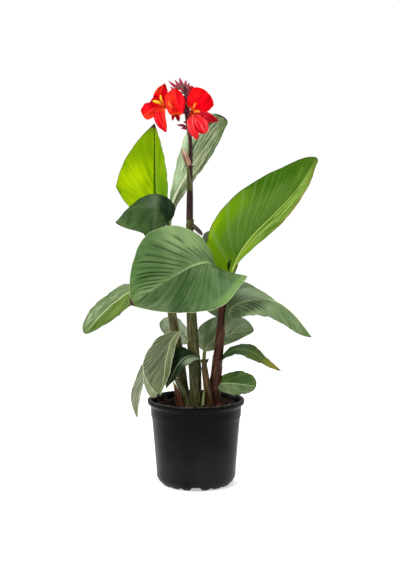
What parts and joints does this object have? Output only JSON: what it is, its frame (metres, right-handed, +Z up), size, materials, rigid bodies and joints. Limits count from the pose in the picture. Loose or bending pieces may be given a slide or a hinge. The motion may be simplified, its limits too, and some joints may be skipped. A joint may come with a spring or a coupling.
{
  "type": "canna lily in nursery pot",
  "caption": "Young canna lily with broad leaves and a head of red blooms, standing in a round black nursery pot filled with potting mix.",
  "frame": {"origin": "middle of the pot's underside, on the surface it stands on", "axes": "+Z up along the shoots, -Y towards the front of the plant, +X to its right seen from the front"},
  "size_m": [0.5205, 0.3346, 0.9144],
  "materials": {
    "pot_black": "satin",
    "potting_mix": "matte",
    "stem_green": "satin",
    "stem_red": "satin",
    "sheath": "satin",
    "spear": "satin",
    "leaf_bright": "satin",
    "leaf_fresh": "satin",
    "leaf_mid": "satin",
    "leaf_dark": "satin",
    "leaf_pale": "satin",
    "leaf_grey": "satin",
    "bract_tan": "matte",
    "raceme_wine": "satin",
    "petal_red": "satin",
    "stamen_yellow": "satin"
  },
  "bodies": {
    "root": {"pot": "pot_black", "potting_mix": "potting_mix", "stem_flowering": "stem_green", "stem_left": "stem_green", "stem_right": "stem_red", "stem_side": "stem_red", "shoot_young": "sheath", "shoot_slanting": "stem_green", "shoot_spear": "spear", "leaf_upper_left": "leaf_bright", "leaf_arching_left": "leaf_dark", "leaf_front_large": "leaf_mid", "leaf_upper_rear": "leaf_pale", "leaf_tall_right": "leaf_fresh", "leaf_drooping_right": "leaf_grey", "leaf_low_rear_right": "leaf_dark", "leaf_far_left": "leaf_grey", "leaf_rear_left": "leaf_pale", "leaf_hanging_left": "leaf_grey", "leaf_hanging_inner": "leaf_mid", "leaf_hanging_outer": "leaf_pale", "leaf_low_left": "leaf_dark", "leaf_narrow_right": "leaf_dark", "leaf_round_right": "leaf_fresh", "leaf_rear_middle": "leaf_grey", "bract_upper": "bract_tan", "bract_lower": "leaf_dark", "raceme": "raceme_wine", "bloom_left": "petal_red", "stamens_left": "stamen_yellow", "bloom_centre": "petal_red", "stamens_centre": "stamen_yellow", "bloom_right": "petal_red", "stamens_right": "stamen_yellow", "bloom_rear": "petal_red"}
  },
  "joints": []
}
